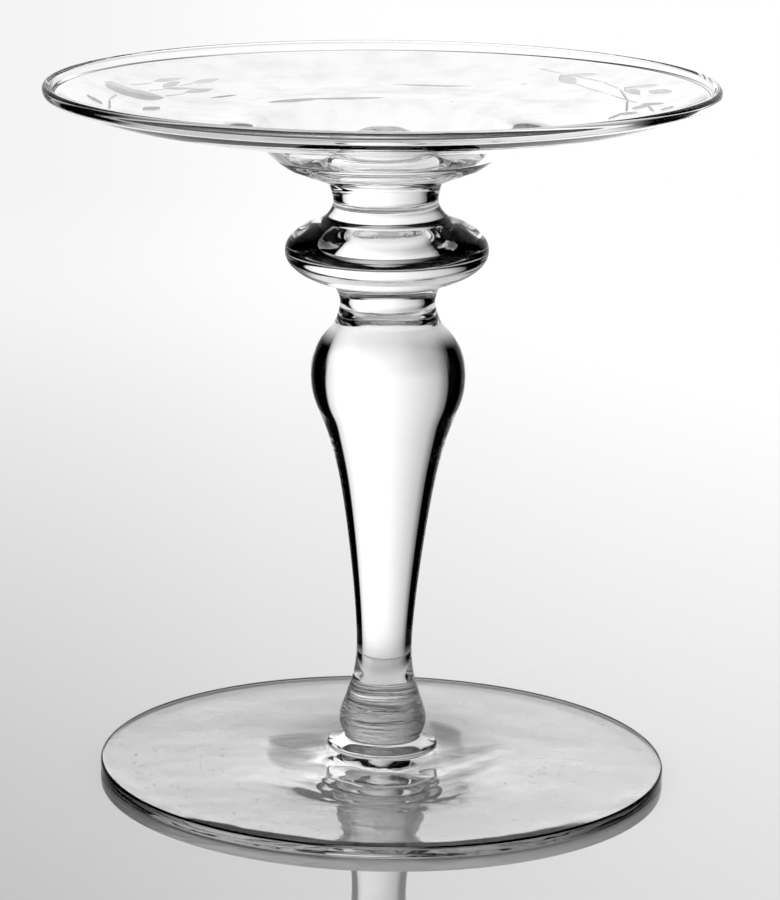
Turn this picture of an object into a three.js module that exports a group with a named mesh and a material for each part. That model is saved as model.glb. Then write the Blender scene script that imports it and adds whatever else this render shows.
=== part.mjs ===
// Crystal pillar candle holder: a dish on a knopped baluster stem and a wide foot
// Sizes are in millimetres, +Z is up, and the origin is on the floor under the middle of the dish.
import * as THREE from "three";

// Foot disc
const FOOT_RADIUS = 65.3;
const FOOT_EDGE_HEIGHT = 2.8;
const FOOT_EDGE_ROUNDING = 1.3;
const FOOT_REST_WIDTH = 5;
const FOOT_HOLLOW_HEIGHT = 1.4;
const FOOT_WELD_HEIGHT = 5.6;

// Foot wafer
const WAFER_RADIUS = 12.75;
const WAFER_HEIGHT = 2.7;
const WAFER_FOOT_WELD_RADIUS = 12.5;

// Foot button
const BUTTON_RADIUS = 10;
const BUTTON_HEIGHT = 9.3;
const BUTTON_WAFER_WELD_RADIUS = 8.5;

// Baluster stem
const STEM_HEIGHT = 88.4;
const STEM_BUTTON_WELD_RADIUS = 8.6;
const STEM_WAIST_RADIUS = 6.4;
const STEM_WAIST_RISE = 12.3;
const STEM_HIP_RADIUS = 11.63;
const STEM_HIP_RISE = 54.8;
const STEM_HIP_FLARE = 0.23;
const STEM_BELLY_RADIUS = 17.65;
const STEM_BELLY_RISE = 76.3;
const STEM_NECK_WELD_RADIUS = 12;

// Lower neck
const LOWER_NECK_HEIGHT = 8.7;
const LOWER_NECK_WAIST_RADIUS = 10.8;
const LOWER_NECK_WAIST_RISE = 4.6;
const LOWER_NECK_FOOT_PULL = 0.35;

// Knop
const KNOP_RADIUS = 23.1;
const KNOP_HALF_HEIGHT = 8.95;
const KNOP_FULLNESS = 2.1;
const KNOP_LOWER_WELD_RADIUS = 12.3;
const KNOP_UPPER_WELD_RADIUS = 15.4;

// Upper neck
const UPPER_NECK_HEIGHT = 8.7;
const UPPER_NECK_WAIST_RADIUS = 11.9;
const UPPER_NECK_WAIST_RISE = 4.4;
const UPPER_NECK_FOOT_PULL = 0.12;
const UPPER_NECK_WELD_RADIUS = 12.9;

// Plate boss
const BOSS_HEIGHT = 3.5;
const BOSS_WELD_RADIUS = 22.1;

// Plate
const PLATE_RADIUS = 76;
const PLATE_HEIGHT = 19;
const PLATE_WALL = 1.4;
const THROAT_GAIN = 0.83;
const THROAT_RADIUS = 30.2;
const THROAT_RISE = 7.1;
const BRIM_RADIUS = 44;
const BRIM_RISE = 9.5;
const LIP_THICKNESS = 2.2;
const LIP_INNER_HEIGHT = 2.2;
const LIP_OUTER_HEIGHT = 3.4;
const LIP_CORNER_INSET = 2.4;
const SEAT_RADIUS = 14;
const SEAT_THICKNESS = 2.8;
const CROWN_RADIUS = 3;
const CROWN_RISE = 5.8;

// Lean of the upper body
const LEAN_START_HEIGHT = 55;
const LEAN_AT_RIM = 3.15;
const TILT_AT_RIM = 0.0132;
const TILT_BULGE = 0.11;

// Heights of the welds
const WAFER_BASE = FOOT_WELD_HEIGHT;
const BUTTON_BASE = WAFER_BASE + WAFER_HEIGHT;
const STEM_BASE = BUTTON_BASE + BUTTON_HEIGHT;
const LOWER_NECK_BASE = STEM_BASE + STEM_HEIGHT;
const KNOP_BASE = LOWER_NECK_BASE + LOWER_NECK_HEIGHT;
const KNOP_MIDDLE = KNOP_BASE + knopRise(KNOP_LOWER_WELD_RADIUS);
const UPPER_NECK_BASE = KNOP_MIDDLE + knopRise(KNOP_UPPER_WELD_RADIUS);
const BOSS_BASE = UPPER_NECK_BASE + UPPER_NECK_HEIGHT;
const PLATE_BASE = BOSS_BASE + BOSS_HEIGHT;
const RIM_HEIGHT = PLATE_BASE + PLATE_HEIGHT;

// Fineness of the solids: flat sides round a gather, and steps along each curve of an outline
const WIDE_SEGMENTS = 72;
const STEM_SEGMENTS = 48;
const SHORT_STEPS = 4;
const LONG_STEPS = 6;

// Height of the knop's surface above its middle at a given radius; a fullness of 2 is an ellipse, and
// more makes the shoulders fuller
function knopRise(radius) {
  const inset = 1 - (radius / KNOP_RADIUS) ** KNOP_FULLNESS;
  return KNOP_HALF_HEIGHT * inset ** (1 / KNOP_FULLNESS);
}

// A half outline in (radius, height) that starts on the axis
function outline(height) {
  const path = new THREE.Path();
  path.moveTo(0, height);
  return path;
}

// Moves each level slice of glass sideways and tips it, as the hand-made stem leans
function leanOver(geometry) {
  const place = geometry.attributes.position;
  for (let i = 0; i < place.count; i += 1) {
    const x = place.getX(i);
    const z = place.getZ(i);
    const share = Math.max(0, (z - LEAN_START_HEIGHT) / (RIM_HEIGHT - LEAN_START_HEIGHT));
    const tilt = (TILT_AT_RIM + TILT_BULGE * (1 - share)) * share ** 2;
    place.setX(i, x + LEAN_AT_RIM * (1 - share ** 2));
    place.setZ(i, z + tilt * x);
  }
}

// Clear colourless lead glass
const GLASS = new THREE.MeshStandardMaterial({
  color: 0xf1f4f4,
  roughness: 0.04,
  metalness: 0,
  transparent: true,
  opacity: 0.35,
});

// A gather of glass turned from its half outline
function gather(name, points, segments) {
  const geometry = new THREE.LatheGeometry(points, segments);
  geometry.rotateX(Math.PI / 2);
  leanOver(geometry);
  geometry.computeVertexNormals();
  const mesh = new THREE.Mesh(geometry, GLASS);
  mesh.name = name;
  return mesh;
}

// Foot disc: a narrow resting ring round a slight hollow, a rounded edge and a slowly rising top
function footDisc() {
  const hollowReach = 0.4;
  const ringReach = 0.75;
  const ringLift = 0.2;
  const edgeReach = 0.49;
  const edgeLift = 0.15;
  const weldReach = 0.17;
  const weldDrop = 0.55;
  const restOuter = FOOT_RADIUS - FOOT_EDGE_ROUNDING / 2;
  const restInner = restOuter - FOOT_REST_WIDTH;
  const edgeTop = FOOT_EDGE_HEIGHT - FOOT_EDGE_ROUNDING;
  const topOuter = FOOT_RADIUS - FOOT_EDGE_ROUNDING;
  const topWidth = topOuter - WAFER_FOOT_WELD_RADIUS;
  const rise = FOOT_WELD_HEIGHT - FOOT_EDGE_HEIGHT;
  const path = outline(FOOT_HOLLOW_HEIGHT);
  path.bezierCurveTo(
    restInner * hollowReach, FOOT_HOLLOW_HEIGHT,
    restInner * ringReach, FOOT_HOLLOW_HEIGHT * ringLift,
    restInner, 0,
  );
  path.lineTo(restOuter, 0);
  path.quadraticCurveTo(FOOT_RADIUS, 0, FOOT_RADIUS, FOOT_EDGE_ROUNDING / 2);
  path.lineTo(FOOT_RADIUS, edgeTop);
  path.quadraticCurveTo(FOOT_RADIUS, FOOT_EDGE_HEIGHT, topOuter, FOOT_EDGE_HEIGHT);
  path.bezierCurveTo(
    topOuter - topWidth * edgeReach, FOOT_EDGE_HEIGHT + rise * edgeLift,
    WAFER_FOOT_WELD_RADIUS + topWidth * weldReach, FOOT_WELD_HEIGHT - rise * weldDrop,
    WAFER_FOOT_WELD_RADIUS, FOOT_WELD_HEIGHT,
  );
  path.lineTo(0, FOOT_WELD_HEIGHT);
  return gather("foot_disc", path.getPoints(SHORT_STEPS), WIDE_SEGMENTS);
}

// Foot wafer: one low ring that bulges just above the foot and sweeps up to the button
function footWafer() {
  const bulgeShare = 0.22;
  const lowPull = 0.05;
  const highPull = 0.62;
  const sweepReach = 0.05;
  const sweepPull = 0.55;
  const ringWidth = WAFER_RADIUS - BUTTON_WAFER_WELD_RADIUS;
  const middle = WAFER_BASE + WAFER_HEIGHT * bulgeShare;
  const path = outline(WAFER_BASE);
  path.lineTo(WAFER_FOOT_WELD_RADIUS, WAFER_BASE);
  path.quadraticCurveTo(WAFER_RADIUS, WAFER_BASE + WAFER_HEIGHT * lowPull, WAFER_RADIUS, middle);
  path.bezierCurveTo(
    WAFER_RADIUS, WAFER_BASE + WAFER_HEIGHT * highPull,
    BUTTON_WAFER_WELD_RADIUS + ringWidth * sweepReach, WAFER_BASE + WAFER_HEIGHT * sweepPull,
    BUTTON_WAFER_WELD_RADIUS, BUTTON_BASE,
  );
  path.lineTo(0, BUTTON_BASE);
  return gather("foot_wafer", path.getPoints(SHORT_STEPS), STEM_SEGMENTS);
}

// Foot button: a squat barrel, widest just below its middle
function footButton() {
  const bulgeShare = 0.46;
  const lowRadiusShare = 0.95;
  const lowPull = 0.12;
  const bulgeDrop = 0.2;
  const bulgeClimb = 0.18;
  const highRadiusShare = 0.92;
  const highPull = 0.34;
  const middle = BUTTON_BASE + BUTTON_HEIGHT * bulgeShare;
  const path = outline(BUTTON_BASE);
  path.lineTo(BUTTON_WAFER_WELD_RADIUS, BUTTON_BASE);
  path.bezierCurveTo(
    BUTTON_RADIUS * lowRadiusShare, BUTTON_BASE + BUTTON_HEIGHT * lowPull,
    BUTTON_RADIUS, middle - BUTTON_HEIGHT * bulgeDrop,
    BUTTON_RADIUS, middle,
  );
  path.bezierCurveTo(
    BUTTON_RADIUS, middle + BUTTON_HEIGHT * bulgeClimb,
    BUTTON_RADIUS * highRadiusShare, middle + BUTTON_HEIGHT * highPull,
    STEM_BUTTON_WELD_RADIUS, STEM_BASE,
  );
  path.lineTo(0, STEM_BASE);
  return gather("foot_button", path.getPoints(SHORT_STEPS), STEM_SEGMENTS);
}

// Baluster stem: a flare from the button to the waist, a long swell to the belly and a round shoulder
function balusterStem() {
  const flareInset = 1.1;
  const flareShare = 0.33;
  const waistShare = 0.55;
  const swellShare = 0.22;
  const hipDropShare = 0.225;
  const hipClimbShare = 0.645;
  const bellyDropShare = 0.36;
  const shoulderShare = 0.62;
  const neckInsetShare = 0.09;
  const neckDropShare = 0.18;
  const waist = STEM_BASE + STEM_WAIST_RISE;
  const hip = STEM_BASE + STEM_HIP_RISE;
  const belly = STEM_BASE + STEM_BELLY_RISE;
  const hipDrop = (hip - waist) * hipDropShare;
  const hipClimb = (belly - hip) * hipClimbShare;
  const shoulder = LOWER_NECK_BASE - belly;
  const path = outline(STEM_BASE);
  path.lineTo(STEM_BUTTON_WELD_RADIUS, STEM_BASE);
  path.bezierCurveTo(
    STEM_BUTTON_WELD_RADIUS - flareInset, STEM_BASE + STEM_WAIST_RISE * flareShare,
    STEM_WAIST_RADIUS, waist - STEM_WAIST_RISE * waistShare,
    STEM_WAIST_RADIUS, waist,
  );
  path.bezierCurveTo(
    STEM_WAIST_RADIUS, waist + (hip - waist) * swellShare,
    STEM_HIP_RADIUS - hipDrop * STEM_HIP_FLARE, hip - hipDrop,
    STEM_HIP_RADIUS, hip,
  );
  path.bezierCurveTo(
    STEM_HIP_RADIUS + hipClimb * STEM_HIP_FLARE, hip + hipClimb,
    STEM_BELLY_RADIUS, belly - (belly - hip) * bellyDropShare,
    STEM_BELLY_RADIUS, belly,
  );
  path.bezierCurveTo(
    STEM_BELLY_RADIUS, belly + shoulder * shoulderShare,
    STEM_NECK_WELD_RADIUS + shoulder * neckInsetShare, LOWER_NECK_BASE - shoulder * neckDropShare,
    STEM_NECK_WELD_RADIUS, LOWER_NECK_BASE,
  );
  path.lineTo(0, LOWER_NECK_BASE);
  return gather("baluster_stem", path.getPoints(LONG_STEPS), STEM_SEGMENTS);
}

// A waisted neck between two welds; lowPull is how far its foot climbs before it turns up to the waist
function neck(name, lowPull, lowRadius, lowHeight, waistRadius, waistHeight, topRadius, topHeight) {
  const pull = 0.35;
  const topPull = 0.3;
  const below = waistHeight - lowHeight;
  const above = topHeight - waistHeight;
  const path = outline(lowHeight);
  path.lineTo(lowRadius, lowHeight);
  path.bezierCurveTo(
    (lowRadius + waistRadius) / 2, lowHeight + below * lowPull,
    waistRadius, waistHeight - below * pull,
    waistRadius, waistHeight,
  );
  path.bezierCurveTo(
    waistRadius, waistHeight + above * pull,
    (topRadius + waistRadius) / 2, topHeight - above * topPull,
    topRadius, topHeight,
  );
  path.lineTo(0, topHeight);
  return gather(name, path.getPoints(SHORT_STEPS), STEM_SEGMENTS);
}

// Knop: a flattened ball with full shoulders, cut flat at its two welds
function knop() {
  const power = 2 / KNOP_FULLNESS;
  const start = Math.acos((KNOP_LOWER_WELD_RADIUS / KNOP_RADIUS) ** (1 / power));
  const end = Math.acos((KNOP_UPPER_WELD_RADIUS / KNOP_RADIUS) ** (1 / power));
  const steps = LONG_STEPS * 2;
  const points = [new THREE.Vector2(0, KNOP_BASE)];
  for (let i = 0; i <= steps; i += 1) {
    const turn = ((start + end) * i) / steps - start;
    const radius = KNOP_RADIUS * Math.cos(turn) ** power;
    const rise = Math.sign(turn) * KNOP_HALF_HEIGHT * Math.abs(Math.sin(turn)) ** power;
    points.push(new THREE.Vector2(radius, KNOP_MIDDLE + rise));
  }
  points.push(new THREE.Vector2(0, UPPER_NECK_BASE));
  return gather("knop", points, STEM_SEGMENTS);
}

// Plate boss: a low pad that flares from the neck under the middle of the dish
function plateBoss() {
  const lowReach = 0.25;
  const lowLift = 0.26;
  const highReach = 0.27;
  const highDrop = 0.31;
  const flare = BOSS_WELD_RADIUS - UPPER_NECK_WELD_RADIUS;
  const path = outline(BOSS_BASE);
  path.lineTo(UPPER_NECK_WELD_RADIUS, BOSS_BASE);
  path.bezierCurveTo(
    UPPER_NECK_WELD_RADIUS + flare * lowReach, BOSS_BASE + BOSS_HEIGHT * lowLift,
    BOSS_WELD_RADIUS - flare * highReach, PLATE_BASE - BOSS_HEIGHT * highDrop,
    BOSS_WELD_RADIUS, PLATE_BASE,
  );
  path.lineTo(0, PLATE_BASE);
  return gather("plate_boss", path.getPoints(SHORT_STEPS), WIDE_SEGMENTS);
}

// Adds a curve between two points; each end has a slope and a share of the width that its handle reaches
function sweep(path, start, startSlope, startShare, end, endSlope, endShare) {
  const width = end.x - start.x;
  path.bezierCurveTo(
    start.x + width * startShare, start.y + width * startShare * startSlope,
    end.x - width * endShare, end.y - width * endShare * endSlope,
    end.x, end.y,
  );
}

// The point of each outer corner, moved into the glass square to the surface; the wall is thicker where
// the surface is steep, so that the dish bends light evenly
function insideOf(points) {
  return points.map((point, i) => {
    const before = points[Math.max(0, i - 1)];
    const after = points[Math.min(points.length - 1, i + 1)];
    const along = new THREE.Vector2().subVectors(after, before).normalize();
    const wall = PLATE_WALL * (1 + THROAT_GAIN * Math.atan2(along.y, along.x));
    return new THREE.Vector2(point.x - along.y * wall, point.y + along.x * wall);
  });
}

// Plate: a dish of even wall with a round well, a domed middle, a gently sloping brim and a rounded lip
function plate() {
  const weldSlope = 0.62;
  const throatSlope = 1.03;
  const brimSlope = 0.06;
  const cornerSlope = 0.38;
  const lipSlope = 0.27;
  const thirdShare = 1 / 3;
  const throatShare = 0.15;
  const shelfShare = 0.5;
  const brimShare = 0.27;
  const cornerShare = 0.42;
  const lipLowShare = 1 / 3;
  const lipLowLift = 0.03;
  const lipHighLift = 0.26;
  const domeFoot = 0.68;
  const domeShoulder = 0.55;
  const weld = new THREE.Vector2(BOSS_WELD_RADIUS, PLATE_BASE);
  const throat = new THREE.Vector2(THROAT_RADIUS, PLATE_BASE + THROAT_RISE);
  const brim = new THREE.Vector2(BRIM_RADIUS, PLATE_BASE + BRIM_RISE);
  const corner = new THREE.Vector2(PLATE_RADIUS - LIP_CORNER_INSET, RIM_HEIGHT - LIP_OUTER_HEIGHT);
  const under = new THREE.Path();
  under.moveTo(weld.x, weld.y);
  sweep(under, weld, weldSlope, thirdShare, throat, throatSlope, thirdShare);
  sweep(under, throat, throatSlope, throatShare, brim, brimSlope, shelfShare);
  sweep(under, brim, brimSlope, brimShare, corner, cornerSlope, cornerShare);
  const outside = under.getPoints(LONG_STEPS);

  // The parallel part of the inner surface, from the foot of the well's side to the middle of the brim
  const innerStart = (BOSS_WELD_RADIUS + THROAT_RADIUS) / 2;
  const innerEnd = (BRIM_RADIUS + PLATE_RADIUS) / 2;
  const inside = insideOf(outside).filter((p, i) => outside[i].x > innerStart && outside[i].x < innerEnd);
  const cove = inside[0];
  const seat = PLATE_BASE + SEAT_THICKNESS;
  const crown = seat + CROWN_RISE;
  const coveHandle = cove.x - (cove.y - seat) / throatSlope;
  const last = inside[inside.length - 1];
  const beforeLast = inside[inside.length - 2];
  const lastSlope = (last.y - beforeLast.y) / (last.x - beforeLast.x);

  // The lip, and the inner surface from the lip down to the seat
  const lipRounding = LIP_THICKNESS / 2;
  const lipMiddle = PLATE_RADIUS - lipRounding;
  const lipSide = RIM_HEIGHT - lipRounding;
  const lipInner = new THREE.Vector2(PLATE_RADIUS - LIP_THICKNESS, RIM_HEIGHT - LIP_INNER_HEIGHT);
  const top = new THREE.Path();
  top.moveTo(corner.x, corner.y);
  top.bezierCurveTo(
    PLATE_RADIUS - LIP_CORNER_INSET * lipLowShare, corner.y + LIP_OUTER_HEIGHT * lipLowLift,
    PLATE_RADIUS, corner.y + LIP_OUTER_HEIGHT * lipHighLift,
    PLATE_RADIUS, lipSide,
  );
  top.absarc(lipMiddle, lipSide, lipRounding, 0, Math.PI, false);
  top.lineTo(lipInner.x, lipInner.y);
  sweep(top, lipInner, lipSlope, thirdShare, last, lastSlope, thirdShare);
  for (const point of inside.slice(0, -1).reverse()) {
    top.lineTo(point.x, point.y);
  }
  top.quadraticCurveTo(coveHandle, seat, SEAT_RADIUS, seat);
  top.bezierCurveTo(SEAT_RADIUS * domeFoot, seat, SEAT_RADIUS * domeShoulder, crown, CROWN_RADIUS, crown);
  top.lineTo(0, crown);
  const points = [new THREE.Vector2(0, PLATE_BASE), ...outside, ...top.getPoints(SHORT_STEPS).slice(1)];
  return gather("plate", points, WIDE_SEGMENTS);
}

const holder = new THREE.Group();
holder.name = "crystal_pillar_candle_holder";
holder.add(footDisc());
holder.add(footWafer());
holder.add(footButton());
holder.add(balusterStem());
holder.add(neck(
  "lower_neck", LOWER_NECK_FOOT_PULL,
  STEM_NECK_WELD_RADIUS, LOWER_NECK_BASE,
  LOWER_NECK_WAIST_RADIUS, LOWER_NECK_BASE + LOWER_NECK_WAIST_RISE,
  KNOP_LOWER_WELD_RADIUS, KNOP_BASE,
));
holder.add(knop());
holder.add(neck(
  "upper_neck", UPPER_NECK_FOOT_PULL,
  KNOP_UPPER_WELD_RADIUS, UPPER_NECK_BASE,
  UPPER_NECK_WAIST_RADIUS, UPPER_NECK_BASE + UPPER_NECK_WAIST_RISE,
  UPPER_NECK_WELD_RADIUS, BOSS_BASE,
));
holder.add(plateBoss());
holder.add(plate());

export default holder;
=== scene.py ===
# %% [markdown]
# # Crystal pillar candle holder
# A clear glass dish on a solid knopped stem and a wide foot, blown and joined hot in nine gathers.
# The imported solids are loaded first, and every finer piece below stands exactly where its solid is.

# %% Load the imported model
import math

import bmesh
import bpy
from mathutils import Matrix, Vector


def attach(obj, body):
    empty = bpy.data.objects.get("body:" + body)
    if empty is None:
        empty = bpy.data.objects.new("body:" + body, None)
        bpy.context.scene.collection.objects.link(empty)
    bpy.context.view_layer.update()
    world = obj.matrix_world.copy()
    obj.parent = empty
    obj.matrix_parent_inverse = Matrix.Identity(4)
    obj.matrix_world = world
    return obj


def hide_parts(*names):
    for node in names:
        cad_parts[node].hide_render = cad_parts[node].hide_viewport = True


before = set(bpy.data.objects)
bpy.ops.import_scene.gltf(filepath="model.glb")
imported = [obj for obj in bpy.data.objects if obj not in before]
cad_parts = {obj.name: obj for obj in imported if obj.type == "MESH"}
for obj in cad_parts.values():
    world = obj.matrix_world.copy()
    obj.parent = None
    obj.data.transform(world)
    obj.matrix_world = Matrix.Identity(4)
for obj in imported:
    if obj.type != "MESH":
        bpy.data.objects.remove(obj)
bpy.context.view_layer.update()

MM = 0.001

# %% [markdown]
# ## The camera
# A product camera stands low in front of the dish and looks a little down on it, so that the rim shows
# as a flat ellipse. Its place, tilt and long lens come from the rim and foot ellipses. A small roll
# makes the floor run slightly uphill, as it does when a camera isn't quite level.

# %% Camera
CAMERA_PLACE = Vector((3.526, -854.333, 276.820)) * MM
CAMERA_PITCH = math.radians(13.2314)
CAMERA_ROLL = math.radians(1.2397)
CAMERA_LENS = 153.43


def camera_turn(pitch, roll):
    """Turns a camera that looks along +Y down by its pitch and then about its own line of sight."""
    forward = Vector((0, math.cos(pitch), -math.sin(pitch)))
    level_up = Vector((0, math.sin(pitch), math.cos(pitch)))
    right = math.cos(roll) * Vector((1, 0, 0)) + math.sin(roll) * level_up
    up = math.cos(roll) * level_up - math.sin(roll) * Vector((1, 0, 0))
    return Matrix((right, up, -forward)).transposed().to_4x4()


camera_data = bpy.data.cameras.new("product_camera")
camera_data.lens = CAMERA_LENS
camera_data.sensor_width = 36
camera_data.clip_start = 0.02
camera_data.clip_end = 50
camera = bpy.data.objects.new("product_camera", camera_data)
camera.matrix_world = Matrix.Translation(CAMERA_PLACE) @ camera_turn(CAMERA_PITCH, CAMERA_ROLL)
bpy.context.scene.collection.objects.link(camera)
bpy.context.scene.camera = camera
bpy.context.scene.view_settings.view_transform = "Standard"
print("camera at", tuple(camera.location), "lens", CAMERA_LENS)

# %% [markdown]
# ## A small kit for node trees
# Shader and geometry trees are easier to read as sums than as wires. One class wraps a socket, so that
# plain maths on it adds the nodes, and one class adds any other node from its settings and its values.

# %% Node tree kit


class Wire:
    """An output socket of a node tree. Maths on it adds Math or Vector Math nodes."""

    def __init__(self, board, socket):
        self.board = board
        self.socket = socket

    def __add__(self, other):
        return self.board.math("ADD", self, other)

    def __radd__(self, other):
        return self.board.math("ADD", other, self)

    def __sub__(self, other):
        return self.board.math("SUBTRACT", self, other)

    def __rsub__(self, other):
        return self.board.math("SUBTRACT", other, self)

    def __mul__(self, other):
        return self.board.math("MULTIPLY", self, other)

    def __rmul__(self, other):
        return self.board.math("MULTIPLY", other, self)

    def __truediv__(self, other):
        return self.board.math("DIVIDE", self, other)

    def __gt__(self, other):
        return self.board.math("GREATER_THAN", self, other)

    def __lt__(self, other):
        return self.board.math("LESS_THAN", self, other)

    def __pow__(self, other):
        return self.board.math("POWER", self, other)

    def __abs__(self):
        return self.board.math("ABSOLUTE", self)


class Board:
    """A node tree on which nodes are laid and joined."""

    def __init__(self, tree):
        self.tree = tree

    def feed(self, socket, value):
        if isinstance(value, Wire):
            self.tree.links.new(value.socket, socket)
        else:
            socket.default_value = value

    def add(self, kind, settings=None, values=None, output=0):
        node = self.tree.nodes.new(kind)
        for name, value in (settings or {}).items():
            setattr(node, name, value)
        for name, value in (values or {}).items():
            self.feed(node.inputs[name], value)
        return Wire(self, node.outputs[output]) if len(node.outputs) else node

    def math(self, operation, *values):
        along = any(isinstance(v, Wire) and v.socket.type == "VECTOR" for v in values)
        kind = "ShaderNodeVectorMath" if along else "ShaderNodeMath"
        return self.add(kind, {"operation": operation}, dict(enumerate(values)))

    def split(self, vector):
        node = self.add("ShaderNodeSeparateXYZ", values={0: vector}).socket.node
        return [Wire(self, out) for out in node.outputs]

    def vector(self, x, y, z):
        return self.add("ShaderNodeCombineXYZ", values={0: x, 1: y, 2: z})

    def dot(self, vector, other):
        settings = {"operation": "DOT_PRODUCT"}
        return self.add("ShaderNodeVectorMath", settings, {0: vector, 1: other}, output=1)

    def noise(self, place, scale=1.0, detail=0.0, distortion=0.0):
        return self.add("ShaderNodeTexNoise", values={
            "Vector": place, "Scale": scale, "Detail": detail, "Distortion": distortion,
        })

    def distance(self, x, y):
        return self.math("SQRT", x * x + y * y)

    def grey(self, tone):
        return self.vector(tone, tone, tone)

    def ramp(self, value, low, high, smooth=True):
        """0 below low and 1 above high, with a soft step between them."""
        kind = "SMOOTHSTEP" if smooth else "LINEAR"
        values = {"Value": value, "From Min": low, "From Max": high}
        return self.add("ShaderNodeMapRange", {"interpolation_type": kind}, values)


# %% [markdown]
# ## Clear glass
# Lead crystal is colourless and polished by the fire, so it shows almost nothing but what it bends and
# mirrors. A perfectly even surface would look like plastic. Real hand-worked glass has faint cords and a
# breath of haze, so a slow noise moves the normal a little and a second one lifts the roughness in patches.
#
# The finish mixes a refraction shader and a mirror, with the Fresnel curve as the share of the mirror. The
# curve is squared, which leaves the mirror to the grazing edges, so the middle of the stem stays clear.
# Three optional parts fit the finish to a piece: what a wheel cut, the relief of a tool, and a painted
# shade that darkens the colour, with specks of dust in it on the foot.

# %% Glass finish
GLASS_BEND = 1.52
LEAST_ROUGHNESS = 0.004
GLASS_TONE = 0.988
SMEARS_TO_THE_METRE = 140.0
CUT_ROUGHNESS = 0.3
CUT_DEPTH = 4
CUT_TONE = 0.17


def glass_finish(name, cord_depth, haze, cord_scale=(55.0, 55.0, 55.0), detail=1.0, **parts):
    """Clear glass with cords in its surface, so many to the metre each way, and a patchy haze.

    parts may hold functions of the board and the place: cut is 1 where a wheel left the surface matt and
    0 elsewhere, relief takes the place of the cords, and shade is painted shade, how much darker the colour
    is made; on the foot it also holds specks of dust.
    """
    material = bpy.data.materials.new(name)
    material.use_nodes = True
    board = Board(material.node_tree)
    material.node_tree.nodes.clear()
    place = board.add("ShaderNodeTexCoord", output=3)
    smeared = board.ramp(board.noise(place, SMEARS_TO_THE_METRE, 4.0), 0.4, 0.75)
    rough = haze * smeared + LEAST_ROUGHNESS
    tone = GLASS_TONE - 0.01 * smeared
    if "relief" in parts:
        height = parts["relief"](board, place)
    else:
        height = board.noise(place * cord_scale, detail=detail)
    # Painted shade: the shade part makes the colour darker.
    if "shade" in parts:
        tone = tone - parts["shade"](board, place)
    if "cut" in parts:
        matt = parts["cut"](board, place)
        rough = rough + CUT_ROUGHNESS * matt
        height = height - CUT_DEPTH * matt
        tone = tone - 0.05 - 0.07 * smeared - CUT_TONE * matt
    bump = board.add("ShaderNodeBump", values={"Strength": 1.0, "Distance": cord_depth, "Height": height})
    through = board.add("ShaderNodeBsdfRefraction", values={
        "Color": board.grey(tone), "Roughness": rough, "IOR": GLASS_BEND, "Normal": bump,
    })
    mirror = board.add("ShaderNodeBsdfAnisotropic", values={
        "Color": (1, 1, 1, 1), "Roughness": rough, "Normal": bump,
    })
    shine = board.add("ShaderNodeFresnel", values={"IOR": GLASS_BEND, "Normal": bump})
    glass = board.add("ShaderNodeMixShader", values={0: shine**2, 1: through, 2: mirror})
    board.add("ShaderNodeOutputMaterial", values={"Surface": glass})
    return material


clear_glass = glass_finish("clear_glass", 0.00002, 0.015)
print("made", clear_glass.name, "with", len(clear_glass.node_tree.nodes), "nodes")

# %% [markdown]
# ## Welds
# Two gathers that are joined hot have no surface left between them. Each piece is still a closed solid of
# its own here, so the flat face where it meets the next one lets light straight through, and the eye sees
# one run of glass from the foot to the dish.

# %% Weld finish
weld = bpy.data.materials.new("weld_between_gathers")
weld.use_nodes = True
weld.node_tree.nodes.clear()
weld_board = Board(weld.node_tree)
weld_clear = weld_board.add("ShaderNodeBsdfTransparent", values={"Color": (1, 1, 1, 1)})
weld_board.add("ShaderNodeOutputMaterial", values={"Surface": weld_clear})
print("made", weld.name)

# %% [markdown]
# ## Turning a gather
# Every gather is a body of revolution that was spun on the iron, so one Geometry Nodes tree turns them all
# from a half outline. The tree lays a grid, reads each row's radius and height from the outline, winds it
# round the axis, leans and tips it as the whole stem does, and then lets slow waves move the free surface,
# because glass worked by hand is never quite round.

# %% Turning tree
FOOT_TO_LEAN = 55 * MM
RIM_HEIGHT = 160.49 * MM
LEAN_AT_RIM = 3.15 * MM
TILT_AT_RIM = 0.0132
TILT_BULGE = 0.11


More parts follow.
